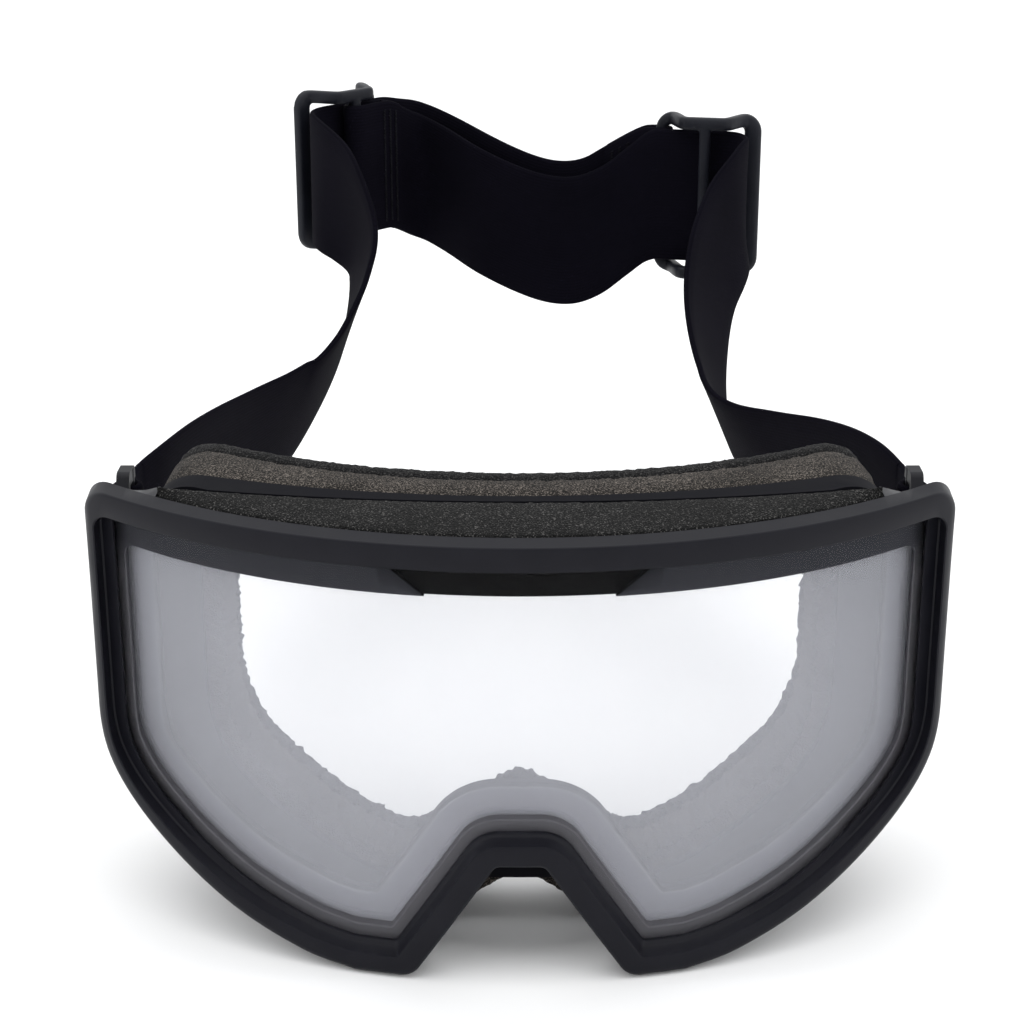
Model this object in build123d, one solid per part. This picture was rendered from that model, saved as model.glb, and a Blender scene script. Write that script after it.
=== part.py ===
from build123d import *
from math import hypot
import os

os.makedirs("parts", exist_ok=True)

# Millimetres. X across the goggles, Y from the front towards the back of the head, Z up.
# The origin is the middle of the nose bridge on the front face of the rim.

# Front view of the rim
HALF_WIDTH = 89.5
TOP = 66.5
BOTTOM = -28.8
BRIDGE_BOTTOM = -2.5
BRIDGE_HALF = 4.9
LOBE_INNER = 22.0
LOBE_OUTER = 34.0
SIDE_END = 18.0
CORNER_RADIUS = 6.0
LOBE_RADIUS = 4.5
ARCH_RADIUS = 2.0

# Plan curve shared by the rim and both lenses, and depths behind its front face
LENS_RADIUS = 130.0
FRAME_DEPTH = 10.2
LIP_STEP = 3.0
LIP_DEPTH = 4.4
OUTER_LENS_DEPTHS = (4.5, 5.7)
SPACER_DEPTHS = (5.8, 8.0)
INNER_LENS_DEPTHS = (8.1, 9.0)
FLANGE_DEPTHS = (10.3, 12.1)
GAP = 0.1

# Widths of the front face of the rim, and insets from the rim outline
TOP_BAR = 5.8
SIDE_BAR = 2.5
LOWER_BAR = 4.6
NOSE_BAR = 5.0
LENS_INSET = 4.9
SIGHT_INSET = 6.2
SPACER_INNER_INSET = 9.4
SPACER_TOP_INSET = 13.3
RECESS_DEPTH = 7.3
REAR_LIP_INSET = 8.5
FLANGE_OUTER_INSET = 6.0
FLANGE_INNER_INSET = 14.0

# Top vent
VENT_FLOOR = 63.8
VENT_TOP = 66.9
VENT_HALF = 73.0
VENT_FRONT_DEPTH = 4.2
VENT_RADIUS = 290.0
VENT_WINDOW = 17.0
VENT_WINDOW_PITCH = 23.0

# Chassis and face seal
RAIL_FRONT = 21.0
RAIL_REAR = 24.3
RAIL_RADIUS = 170.0
CHASSIS_TOP = 67.8
CHASSIS_GROWTH = 16.5
SEAL_GROWTH = 15.0
SEAL_RADIUS = 115.0
SEAL_HALF = 61.0
SEAL_TOP = 52.5
SEAL_LOBE = 22.5
SEAL_HUMP = 1.2
SEAL_FLOOR = -27.5
NOSE_OPENING_TOP = -17.0
WALL = 2.0
FACE_FOAM_REAR = 36.0
COMFORT_FOAM_REAR = 41.5
FLEECE_REAR = 43.0

# Side ears, pivot pins and strap clips, measured on one side
PIVOT_Y = 56.0
PIVOT_Z = 36.0
PIN_RADIUS = 2.0
PIN_HEAD_RADIUS = 4.0
PIN_HEAD = 1.4
EAR_X = (80.2, 84.2)
EAR_RADIUS = 6.0
CLIP_X = (84.5, 87.3)
CLIP_BAR_Y = 66.0
CLIP_BAR_RADIUS = 1.6
CLIP_HALF = 23.8
CLIP_WINDOW_HALF = 20.8

# Straps
STRAP_WIDTH = 40.0
STRAP_THICKNESS = 1.6
FOLD_GAP = 0.2
TACK_THICKNESS = 0.4

# Sliders, in their own frame: along the strap, across it, and outward from the head
SLIDER_HALF_LENGTH = 16.0
SLIDER_HALF_HEIGHT = 24.6
SLOT_HALF = 20.7
SLIDER_CORNER = 5.0
BAR_RADIUS = 1.7
END_BAR_OUT = 4.6
CENTRE_BAR_OUT = -4.6
END_BAR_AT = SLIDER_HALF_LENGTH - BAR_RADIUS
STRAIGHT_BEFORE = 4.0
STRAIGHT_AFTER = 23.0
FOLD_LENGTH = 17.0
FOLD_TIP = 11.0
FOLD_STRAIGHT = 22.3
LEFT_SLIDER = (Vector(-54, 285, 83.5), Vector(0.68, 0.73, 0), Vector(-0.73, 0.68, 0))
RIGHT_SLIDER = (Vector(56, 265, 78.5), Vector(-0.98, 0.20, 0), Vector(0.20, 0.98, 0))

FAR = 400.0


def save(node, shape):
    shape.label = node
    export_step(shape, "parts/" + node + ".step")


# Outlines in the front view

CHEEK = [
    (HALF_WIDTH, SIDE_END), (87.6, 5.5), (79.0, -5.8), (62.0, -18.6), (45.0, -26.3), (LOBE_OUTER, BOTTOM),
]
CHEEK_END = (-1, -0.23)
SEAL_CHEEK = [(SEAL_HALF, 22.0), (57.0, 7.5), (44.0, -3.8), (33.0, -10.5), (26.0, -13.4)]
SEAL_CHEEK_END = (-1, -0.35)


def moved_curve(points, widths, start, end):
    """A curve moved sideways, to the right of its direction when the widths are positive."""
    moved = []
    last = len(points) - 1
    for i, (x, z) in enumerate(points):
        before = points[max(i - 1, 0)]
        after = points[min(i + 1, last)]
        along = (after[0] - before[0], after[1] - before[1])
        if i == 0:
            along = start
        if i == last:
            along = end
        length = hypot(*along)
        moved.append((x + along[1] / length * widths[i], z - along[0] / length * widths[i]))
    return moved


def cheek_points(side, lower):
    """The curve from the straight side to the lobe, moved inward by a width that changes along it."""
    last = len(CHEEK) - 1
    widths = [side + (lower - side) * min(1.0, i / (last - 1)) for i in range(last + 1)]
    return moved_curve(CHEEK, widths, (0, -1), (-1, 0))


def nose_x(z, width):
    """X of the straight nose flank at height z, moved into the rim by a width."""
    rise = BRIDGE_BOTTOM - BOTTOM
    run = LOBE_INNER - BRIDGE_HALF
    return BRIDGE_HALF + (BRIDGE_BOTTOM - z) * run / rise + width * hypot(rise, run) / rise


def rim_outline(top=0.0, side=0.0, lower=0.0, nose=0.0):
    """The front outline of the rim, inset by its own amount along each part."""
    cheek = cheek_points(side, lower)
    floor = BOTTOM + lower
    arch = BRIDGE_BOTTOM + nose
    lobe = nose_x(floor, nose)
    bridge = nose_x(arch, nose)
    right = HALF_WIDTH - side
    with BuildSketch(Plane.XZ) as sketch:
        with BuildLine():
            Line((0, TOP - top), (right, TOP - top))
            Line((right, TOP - top), cheek[0])
            Spline(*cheek, tangents=[(0, -1), CHEEK_END])
            Line(cheek[-1], (lobe, floor))
            Line((lobe, floor), (bridge, arch))
            Line((bridge, arch), (0, arch))
            mirror(about=Plane.YZ)
        make_face()
        round_corners(sketch, right, TOP - top, max(CORNER_RADIUS - side, 2.5))
        round_corners(sketch, lobe, floor, max(LOBE_RADIUS - nose, 1.2))
        round_corners(sketch, bridge, arch, ARCH_RADIUS + nose)
    return sketch.sketch


def round_corners(sketch, x, z, radius):
    corners = [v for v in sketch.vertices() if hypot(abs(v.X) - x, v.Y - z) < 0.05]
    fillet(corners, radius)


def inset(distance):
    return rim_outline(distance, distance, distance, distance)


def seal_outline(growth, floor=SEAL_FLOOR, ceiling=FAR):
    """The hole in the face seal, grown outward: straight sides, cheeks and the nose hump."""
    right = SEAL_HALF + growth
    top = min(SEAL_TOP + growth, ceiling)
    cheek = moved_curve(SEAL_CHEEK, [-growth] * len(SEAL_CHEEK), (0, -1), (-1, 0))
    cheek[-1] = (cheek[-1][0], max(cheek[-1][1], floor))
    slope = (SEAL_HUMP - SEAL_CHEEK[-1][1]) / SEAL_LOBE
    hump = SEAL_HUMP - growth * hypot(1, slope)
    lobe = (hump - cheek[-1][1]) / slope
    with BuildSketch(Plane.XZ) as sketch:
        with BuildLine():
            Line((0, top), (right, top))
            Line((right, top), cheek[0])
            Spline(*cheek, tangents=[(0, -1), SEAL_CHEEK_END])
            Line(cheek[-1], (lobe, cheek[-1][1]))
            Line((lobe, cheek[-1][1]), (0, hump))
            mirror(about=Plane.YZ)
        make_face()
        round_corners(sketch, right, top, 10 + growth * 0.2)
        round_corners(sketch, lobe, cheek[-1][1], 3)
        round_corners(sketch, 0, hump, 6)
    return sketch.sketch


# Slabs between curved surfaces

def prism(outline, start=-5.0, end=95.0):
    return extrude(Pos(0, start, 0) * outline, amount=-(end - start))


def behind(depth, radius):
    """Everything behind a curve across the goggles that starts at a depth on the centre line."""
    return Pos(0, depth + radius, 20) * Cylinder(radius, FAR)


def slab(front, rear):
    """Everything between two depths behind the curved front face of the rim."""
    return behind(front, LENS_RADIUS - front) - behind(rear, LENS_RADIUS - rear)


def vent_space(gap):
    """The recess for the top vent foam, or the foam itself when the gap is negative."""
    block = Pos(0, 40, VENT_FLOOR - gap + 10) * Box(2 * (VENT_HALF + gap), 120, 20)
    block &= behind(VENT_FRONT_DEPTH - gap, LENS_RADIUS - VENT_FRONT_DEPTH + gap)
    return block - behind(RAIL_FRONT + gap, VENT_RADIUS)


# The goggle body

def front_frame():
    body = prism(rim_outline()) & slab(0, FRAME_DEPTH)
    body -= prism(rim_outline(TOP_BAR, SIDE_BAR, LOWER_BAR, NOSE_BAR)) & slab(-1, LIP_STEP)
    body -= prism(rim_outline(TOP_BAR, SIGHT_INSET, SIGHT_INSET, SIGHT_INSET)) & slab(0, LIP_DEPTH + GAP)
    body -= prism(inset(LENS_INSET - 0.2)) & slab(LIP_DEPTH, INNER_LENS_DEPTHS[1] + GAP)
    body -= prism(inset(REAR_LIP_INSET)) & slab(LIP_DEPTH, FRAME_DEPTH + 1)
    body -= vent_space(GAP)
    for side in (-1, 1):
        body += ear(side)
        body -= along_x(side, PIN_RADIUS + 0.15, EAR_X[0] - 3, EAR_X[1] + 3)
    return body


def along_x(side, radius, near, far, y=PIVOT_Y, z=PIVOT_Z):
    """A round bar along X on one side of the goggles."""
    middle = side * (near + far) / 2
    return Pos(middle, y, z) * Rot(0, 90, 0) * Cylinder(radius, far - near)


def ear(side):
    thickness = EAR_X[1] - EAR_X[0]
    middle = side * (EAR_X[0] + EAR_X[1]) / 2
    root = PIVOT_Y - 18
    lug = Pos(middle, (root + PIVOT_Y) / 2, PIVOT_Z) * Box(thickness, PIVOT_Y - root, 2 * EAR_RADIUS)
    lug += along_x(side, EAR_RADIUS, EAR_X[0], EAR_X[1])
    start = INNER_LENS_DEPTHS[1] + 0.4
    return lug & behind(start, LENS_RADIUS - start)


def pane(depths):
    return prism(inset(LENS_INSET)) & slab(*depths)


def lens_spacer():
    """A ring between the lenses, wide along the top, with a shallow bevelled recess above the nose."""
    hole = rim_outline(SPACER_TOP_INSET, SPACER_INNER_INSET, SPACER_INNER_INSET, SPACER_INNER_INSET)
    ring = (prism(inset(LENS_INSET)) & slab(*SPACER_DEPTHS)) - prism(hole)
    with BuildSketch(Plane.XZ) as sketch:
        with BuildLine():
            Polyline((-21, 50), (-21, 53.2), (-24.5, 61), (24.5, 61), (21, 53.2), (21, 50), close=True)
        make_face()
    return ring - (prism(sketch.sketch) & slab(SPACER_DEPTHS[0] - 1, RECESS_DEPTH))


def lower_vent_space(side, gap):
    window = Pos(side * 32, 40, -20) * Box(20 + 2 * gap, 120, 40)
    window &= behind(FLANGE_DEPTHS[1] + 0.6 - gap, LENS_RADIUS - FLANGE_DEPTHS[1] - 0.6 + gap)
    return window - behind(RAIL_FRONT - 0.5 + gap, VENT_RADIUS)


def chassis_wall():
    outer = prism(seal_outline(CHASSIS_GROWTH, ceiling=CHASSIS_TOP))
    inner = seal_outline(CHASSIS_GROWTH - WALL, floor=SEAL_FLOOR + WALL, ceiling=VENT_FLOOR - WALL)
    return outer - prism(inner)


def nose_opening():
    """The wedge between the nose flanks of the rim, up to the bridge of the chassis."""
    bottom = BOTTOM - 10
    with BuildSketch(Plane.XZ) as sketch:
        with BuildLine():
            Line((0, NOSE_OPENING_TOP), (nose_x(NOSE_OPENING_TOP, 0), NOSE_OPENING_TOP))
            Line((nose_x(NOSE_OPENING_TOP, 0), NOSE_OPENING_TOP), (nose_x(bottom, 0), bottom))
            Line((nose_x(bottom, 0), bottom), (0, bottom))
            mirror(about=Plane.YZ)
        make_face()
    return prism(sketch.sketch)


def rear_frame():
    front = FLANGE_DEPTHS[0]
    ahead_of_foam = behind(RAIL_REAR, RAIL_RADIUS)
    flange = (prism(inset(FLANGE_OUTER_INSET)) - prism(inset(FLANGE_INNER_INSET))) & slab(*FLANGE_DEPTHS)
    flange &= Pos(0, 40, VENT_FLOOR - FAR / 2) * Box(FAR, FAR, FAR)
    wall = (chassis_wall() & behind(front, LENS_RADIUS - front)) - ahead_of_foam
    rail = prism(seal_outline(CHASSIS_GROWTH, ceiling=CHASSIS_TOP)) - prism(seal_outline(5.0))
    rail = (rail & behind(RAIL_REAR - WALL, RAIL_RADIUS)) - ahead_of_foam
    rail &= behind(front, LENS_RADIUS - front)
    body = flange + wall + rail - vent_space(GAP) - nose_opening()
    for i in range(-2, 3):
        window = Pos(i * VENT_WINDOW_PITCH, 40, VENT_FLOOR - 1) * Box(VENT_WINDOW, 120, 8)
        window &= behind(FLANGE_DEPTHS[1] + 0.8, LENS_RADIUS - FLANGE_DEPTHS[1] - 0.8)
        body -= window - behind(RAIL_FRONT - 1.5, VENT_RADIUS)
    for side in (-1, 1):
        body -= lower_vent_space(side, GAP)
        body -= Pos(side * (EAR_X[0] + EAR_X[1]) / 2, 45, PIVOT_Z) * Box(4.6, 40, 2 * EAR_RADIUS + 1)
    return body


def top_vent_foam():
    foam = vent_space(0)
    return foam & Pos(0, 40, VENT_TOP - FAR / 2) * Box(FAR, FAR, FAR)


def lower_vent_foam(side):
    return chassis_wall() & lower_vent_space(side, 0) & Pos(0, 40, -20) * Box(FAR, FAR, 40)


def seal_layer(growth, hole_growth, front, rear):
    layer = prism(seal_outline(growth)) - prism(seal_outline(hole_growth))
    return (layer & front) - rear


# Pins and clips

def clip_pin(side):
    inner = EAR_X[0] - GAP
    outer = CLIP_X[1] + GAP
    pin = along_x(side, PIN_RADIUS, inner - PIN_HEAD, outer + PIN_HEAD)
    pin += along_x(side, PIN_HEAD_RADIUS, inner - PIN_HEAD, inner)
    pin += along_x(side, PIN_HEAD_RADIUS, outer, outer + PIN_HEAD)
    return pin


def clip_middle():
    return (CLIP_X[0] + CLIP_X[1]) / 2


def strap_clip(side):
    """A flat plate that turns on the pin, with a window whose rear bar holds the strap."""
    rear = CLIP_BAR_Y + 2.4
    shoulder = PIVOT_Y + 5.5
    with BuildSketch(Plane.YZ) as sketch:
        with BuildLine():
            Polyline(
                (PIVOT_Y - 4, PIVOT_Z - 5), (shoulder, PIVOT_Z - CLIP_HALF), (rear, PIVOT_Z - CLIP_HALF),
                (rear, PIVOT_Z + CLIP_HALF), (shoulder, PIVOT_Z + CLIP_HALF), (PIVOT_Y - 4, PIVOT_Z + 5),
                close=True,
            )
        make_face()
        fillet(sketch.vertices(), 1.8)
    outline = Pos(side * clip_middle(), 0, 0) * sketch.sketch
    plate = extrude(outline, amount=(CLIP_X[1] - CLIP_X[0]) / 2, both=True)
    plate += along_x(side, 6.0, *CLIP_X)
    window = Pos(side * clip_middle(), CLIP_BAR_Y + 1.2, PIVOT_Z) * Box(9, 10.4, 2 * CLIP_WINDOW_HALF)
    plate -= window
    bar = Pos(side * clip_middle(), CLIP_BAR_Y, PIVOT_Z) * Cylinder(CLIP_BAR_RADIUS, 2 * CLIP_HALF - 1)
    plate -= along_x(side, PIN_RADIUS + 0.15, CLIP_X[0] - 3, CLIP_X[1] + 3)
    return plate + bar


# Straps

def hermite(a, b, slope_a, slope_b, t):
    return (
        a * (2 * t**3 - 3 * t**2 + 1) + slope_a * (t**3 - 2 * t**2 + t)
        + b * (-2 * t**3 + 3 * t**2) + slope_b * (t**3 - t**2)
    )


def hermite_slope(a, b, slope_a, slope_b, t):
    return (
        a * (6 * t**2 - 6 * t) + slope_a * (3 * t**2 - 4 * t + 1)
        + b * (-6 * t**2 + 6 * t) + slope_b * (3 * t**2 - 2 * t)
    )


def smooth_run(stations, start_direction, end_direction, steps=4):
    """Points, width directions and headings along a smooth curve through the stations."""
    points = [Vector(*s[0]) for s in stations]
    widths = [Vector(*s[1]).normalized() for s in stations]
    last = len(points) - 1
    headings = [(points[min(j + 1, last)] - points[max(j - 1, 0)]).normalized() for j in range(last + 1)]
    headings[0] = start_direction.normalized()
    headings[last] = end_direction.normalized()
    run = []
    for i in range(last):
        span = (points[i + 1] - points[i]).length
        ends = (points[i], points[i + 1], headings[i] * span, headings[i + 1] * span)
        for k in range(steps):
            t = k / steps
            width = widths[i] * (1 - t) + widths[i + 1] * t
            run.append((hermite(*ends, t), width, hermite_slope(*ends, t)))
    run.append((points[last], widths[last], headings[last]))
    return run


def ribbon(path):
    """A flat strap of constant width and thickness along points, width directions and headings."""
    sections = []
    for point, width, heading in path:
        place = Plane(origin=point, x_dir=width, z_dir=heading)
        sections.append(place * Rectangle(STRAP_WIDTH, STRAP_THICKNESS))
    return loft(sections, ruled=True)


def on_slider(slider, along, outward):
    centre, direction, normal = slider
    return centre + direction.normalized() * along + normal.normalized() * outward


def slider_place(slider, along=0.0, outward=0.0):
    return Plane(origin=on_slider(slider, along, outward), x_dir=slider[1], z_dir=slider[2]).location


UPRIGHT = (0, 0, 1)

LEFT_ARM = [
    ((-85.9, 76.0, 36), UPRIGHT), ((-83.5, 92, 37), (4, 0, 40)), ((-80.5, 124, 34), (7, -2, 39)),
    ((-74, 164, 29), (7, -11, 38)), ((-64, 197, 29), (5, -24, 31)), ((-56, 212, 37), (4, -33, 22)),
    ((-50, 222, 48), (4, -37, 15)), ((-46.5, 230, 59), (7, -38, 12)), ((-46, 237, 70), (11, -34, 18)),
    ((-52, 248, 79.5), (10, -20, 34)), ((-56.5, 260, 82.8), (3, -6, 40)), ((-57.5, 272, 83.5), UPRIGHT),
]
LEFT_BACK = [
    ((-32, 306, 83), UPRIGHT), ((-22, 303, 80), UPRIGHT), ((-8, 292.5, 73), UPRIGHT),
    ((4, 285, 69), UPRIGHT), ((13, 280, 71), UPRIGHT),
]
RIGHT_ARM = [
    ((85.9, 76.0, 36), UPRIGHT), ((85, 92, 37), (-5, 1, 40)), ((81.5, 120, 34), (-12, -2, 38)),
    ((73, 152, 28), (-14, -10, 36)), ((63, 177, 26), (-12, -22, 31)), ((56, 195, 30), (-10, -28, 27)),
    ((53.5, 208, 40), (-12, -30, 23)), ((53.5, 220, 52), (-15, -30, 22)), ((56, 231, 63), (-16, -27, 25)),
    ((60.5, 242, 71.5), (-13, -18, 33)), ((62.5, 251.5, 77.2), (-3, -6, 39)), ((62.6, 257.5, 78.5), UPRIGHT),
]
RIGHT_BACK = [
    ((20, 271.5, 69), UPRIGHT), ((4, 275, 65), UPRIGHT), ((-12, 283.5, 69), UPRIGHT),
    ((-22.5, 294.5, 76.5), UPRIGHT), ((-30, 300.5, 82.5), UPRIGHT),
]


def strap(side, arm, own, back, other, bar_along, bar_outward):
    """From the clip through its own slider and across the back into the fold on the other slider."""
    upright = Vector(*UPRIGHT)
    forward = Vector(0, 1, 0)
    start = Vector(side * clip_middle(), CLIP_BAR_Y + 2.3, PIVOT_Z)
    entry = on_slider(own, -STRAIGHT_BEFORE, 0)
    leaving = on_slider(own, STRAIGHT_AFTER, 0)
    joined = on_slider(other, bar_along + FOLD_STRAIGHT, bar_outward)
    tip = on_slider(other, bar_along + FOLD_TIP, bar_outward)
    path = [(start, upright, forward)]
    path += smooth_run(arm + [(tuple(entry), UPRIGHT)], forward, own[1])
    across_back = [(tuple(leaving), UPRIGHT)] + back + [(tuple(joined), UPRIGHT)]
    path += [(p, w, Vector(h.X, h.Y, 0)) for p, w, h in smooth_run(across_back, own[1], other[1] * -1)]
    path.append((tip, upright, other[1] * -1))
    return ribbon(path) + clip_fold(side)


def clip_fold(side):
    """The strap end folded round the rear bar of the clip."""
    inner = CLIP_BAR_RADIUS + FOLD_GAP
    ring = Cylinder(inner + STRAP_THICKNESS, STRAP_WIDTH) - Cylinder(inner, STRAP_WIDTH + 2)
    return Pos(side * clip_middle(), CLIP_BAR_Y, PIVOT_Z) * ring


def end_tack(side):
    """Stitch rows on the inner and outer faces of the strap, just behind the clip."""
    offset_out = STRAP_THICKNESS / 2 + TACK_THICKNESS / 2 + 0.02
    rows = []
    for face in (-1, 1):
        for row in (0, 1):
            x = side * clip_middle() + face * offset_out
            y = CLIP_BAR_Y + 6.0 + 2.4 * row
            rows.append(Pos(x, y, PIVOT_Z) * Box(TACK_THICKNESS, 0.8, STRAP_WIDTH - 6))
    return rows


def sewn_fold():
    """A strap end folded round a bar at the origin, both plies running along +X."""
    inner = BAR_RADIUS + FOLD_GAP
    outer = inner + STRAP_THICKNESS
    half = STRAP_THICKNESS / 2 + GAP
    with BuildSketch(Plane.XZ) as sketch:
        with BuildLine():
            ThreePointArc((0, outer), (-outer, 0), (0, -outer))
            Line((0, -outer), (7, -half - STRAP_THICKNESS))
            Line((7, -half - STRAP_THICKNESS), (FOLD_LENGTH, -half - STRAP_THICKNESS))
            Line((FOLD_LENGTH, -half - STRAP_THICKNESS), (FOLD_LENGTH, -half))
            Line((FOLD_LENGTH, -half), (7, -half))
            Line((7, -half), (0, -inner))
            ThreePointArc((0, -inner), (-inner, 0), (0, inner))
            Line((0, inner), (7, half))
            Line((7, half), (FOLD_LENGTH, half))
            Line((FOLD_LENGTH, half), (FOLD_LENGTH, half + STRAP_THICKNESS))
            Line((FOLD_LENGTH, half + STRAP_THICKNESS), (7, half + STRAP_THICKNESS))
            Line((7, half + STRAP_THICKNESS), (0, outer))
        make_face()
    return extrude(sketch.sketch, amount=STRAP_WIDTH / 2, both=True)


def bar_tack():
    """Three stitch bars on each face of the sewn fold."""
    height = STRAP_THICKNESS * 1.5 + GAP + TACK_THICKNESS / 2 + 0.02
    rows = []
    for face in (-1, 1):
        for row in range(3):
            rows.append(Pos(10 + 2.4 * row, 0, face * height) * Box(0.9, STRAP_WIDTH - 5, TACK_THICKNESS))
    return rows


def slider_body():
    """Two arched side rails with rounded corners, two raised end bars and one recessed centre bar."""
    thick = BAR_RADIUS
    end = SLIDER_HALF_LENGTH
    with BuildSketch(Plane.XZ) as sketch:
        with BuildLine():
            Polyline(
                (-end, END_BAR_OUT - thick), (-end, END_BAR_OUT + thick), (-11.5, END_BAR_OUT + thick),
                (-5, CENTRE_BAR_OUT + thick), (5, CENTRE_BAR_OUT + thick), (11.5, END_BAR_OUT + thick),
                (end, END_BAR_OUT + thick), (end, END_BAR_OUT - thick), (13, END_BAR_OUT - thick),
                (6.5, CENTRE_BAR_OUT - thick), (-6.5, CENTRE_BAR_OUT - thick), (-13, END_BAR_OUT - thick),
                close=True,
            )
        make_face()
        fillet(sketch.vertices(), 1.2)
    rail = extrude(sketch.sketch, amount=SLIDER_HALF_HEIGHT - SLOT_HALF)
    body = Pos(0, -SLOT_HALF, 0) * rail
    body += Pos(0, SLIDER_HALF_HEIGHT, 0) * rail
    for x, z in ((-END_BAR_AT, END_BAR_OUT), (0, CENTRE_BAR_OUT), (END_BAR_AT, END_BAR_OUT)):
        body += Pos(x, 0, z) * Rot(90, 0, 0) * Cylinder(BAR_RADIUS, 2 * SLOT_HALF + 3)
    face = RectangleRounded(2 * SLIDER_HALF_LENGTH, 2 * SLIDER_HALF_HEIGHT, SLIDER_CORNER)
    return body & extrude(face, amount=10, both=True)


save("front_frame", front_frame())
save("outer_lens", pane(OUTER_LENS_DEPTHS))
save("lens_spacer", lens_spacer())
save("inner_lens", pane(INNER_LENS_DEPTHS))
save("rear_frame", rear_frame())
save("top_vent_foam", top_vent_foam())
save("lower_vent_foam_left", lower_vent_foam(-1))
save("lower_vent_foam_right", lower_vent_foam(1))

rail_rear = behind(RAIL_REAR + GAP, RAIL_RADIUS)
foam_rear = behind(FACE_FOAM_REAR, SEAL_RADIUS)
comfort_rear = behind(COMFORT_FOAM_REAR, SEAL_RADIUS)
fleece_rear = behind(FLEECE_REAR, SEAL_RADIUS)
save("face_foam", seal_layer(SEAL_GROWTH, 0, rail_rear, foam_rear))
comfort_front = behind(FACE_FOAM_REAR + 0.05, SEAL_RADIUS)
fleece_front = behind(COMFORT_FOAM_REAR + 0.05, SEAL_RADIUS)
save("comfort_foam", seal_layer(SEAL_GROWTH - 0.8, 0.6, comfort_front, comfort_rear))
save("face_fleece", seal_layer(SEAL_GROWTH - 2.4, 1.6, fleece_front, fleece_rear))

save("clip_pins", Compound(children=[clip_pin(-1), clip_pin(1)]))
save("strap_clip_left", strap_clip(-1))
save("strap_clip_right", strap_clip(1))
save("strap_left", strap(-1, LEFT_ARM, LEFT_SLIDER, LEFT_BACK, RIGHT_SLIDER, END_BAR_AT, END_BAR_OUT))
save("strap_right", strap(1, RIGHT_ARM, RIGHT_SLIDER, RIGHT_BACK, LEFT_SLIDER, 0, CENTRE_BAR_OUT))
save("end_tacks", Compound(children=end_tack(-1) + end_tack(1)))

save("slider_left", slider_place(LEFT_SLIDER) * slider_body())
save("slider_right", slider_place(RIGHT_SLIDER) * slider_body())
save("strap_loop_left", slider_place(LEFT_SLIDER, 0, CENTRE_BAR_OUT) * sewn_fold())
save("strap_loop_right", slider_place(RIGHT_SLIDER, END_BAR_AT, END_BAR_OUT) * sewn_fold())
left_rows = [slider_place(LEFT_SLIDER, 0, CENTRE_BAR_OUT) * row for row in bar_tack()]
right_rows = [slider_place(RIGHT_SLIDER, END_BAR_AT, END_BAR_OUT) * row for row in bar_tack()]
save("bar_tack_left", Compound(children=left_rows))
save("bar_tack_right", Compound(children=right_rows))
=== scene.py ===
import math

import bmesh
import bpy
import numpy as np
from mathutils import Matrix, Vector, noise


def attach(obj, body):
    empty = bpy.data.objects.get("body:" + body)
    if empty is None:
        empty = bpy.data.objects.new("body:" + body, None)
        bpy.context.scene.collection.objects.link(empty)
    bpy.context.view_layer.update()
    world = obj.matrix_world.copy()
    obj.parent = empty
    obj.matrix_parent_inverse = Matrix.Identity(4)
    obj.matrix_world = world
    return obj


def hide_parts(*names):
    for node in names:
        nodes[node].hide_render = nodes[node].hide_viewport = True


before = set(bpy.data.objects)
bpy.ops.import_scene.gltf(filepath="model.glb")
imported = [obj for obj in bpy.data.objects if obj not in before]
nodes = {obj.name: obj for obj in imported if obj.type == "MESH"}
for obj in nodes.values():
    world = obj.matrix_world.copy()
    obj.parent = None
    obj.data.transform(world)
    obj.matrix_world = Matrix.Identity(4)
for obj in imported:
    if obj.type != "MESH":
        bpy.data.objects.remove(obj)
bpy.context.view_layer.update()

# A fixed seed, so that the foam is roughened the same way in each run
noise.seed_set(7)

# Shapes are worked out in millimetres, in the part's own frame: X across, Y towards the head, Z up.
# The origin is the middle of the nose bridge on the front face of the rim.
MM = 0.001

# Front view of the rim
HALF_WIDTH = 89.5
TOP = 66.5
BOTTOM = -28.8
BRIDGE_BOTTOM = -2.5
BRIDGE_HALF = 4.9
LOBE_INNER = 22.0
CHEEK = [(HALF_WIDTH, 18.0), (87.6, 5.5), (79.0, -5.8), (62.0, -18.6), (45.0, -26.3), (34.0, BOTTOM)]
CORNER_RADIUS = 6.0
LOBE_RADIUS = 4.5
ARCH_RADIUS = 2.0

# Depths behind the curved front face, and insets from the rim outline (top, side, lower, nose)
LENS_RADIUS = 130.0
FRAME_DEPTH = 10.2
FACE = (5.8, 2.5, 4.6, 5.0)
SIGHT = (5.8, 6.2, 6.2, 6.2)
EDGE_RADII = (0.45, 1.7, 1.5, 1.1)
TOP_LEAN = (0.6, 0.0, 0.0, 0.0)
CHANNEL_RINGS = [
    (SIGHT, (3.4, 3.8, 3.8, 3.8)),
    ((5.8, 6.0, 6.05, 6.05), (3.0, 3.55, 3.5, 3.5)),
    ((5.8, 3.5, 5.5, 5.7), (2.8, 3.1, 3.1, 3.1)),
    ((5.8, 3.1, 5.1, 5.4), (2.4, 2.7, 2.7, 2.7)),
]
CORNER_DROP = 3.6
LENS_INSET = 4.9
POCKET = (4.7, 4.7, 4.7, 4.7)
POCKET_FRONT = 4.4
REAR_LIP = (8.5, 8.5, 8.5, 8.5)
SPACER_INNER = (13.3, 8.0, 8.0, 8.0)
BORDER_BAND = (6.0, 13.2)
BORDER_STEP = (13.25, 13.7)
OUTER_LENS = (4.5, 5.7)
SPACER = (5.8, 8.0)
INNER_LENS = (8.1, 9.0)
RECESS_HALF = (28.0, 18.6)
RECESS_FLOOR = 7.3
PANE_CHAMFER = 0.25

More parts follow.
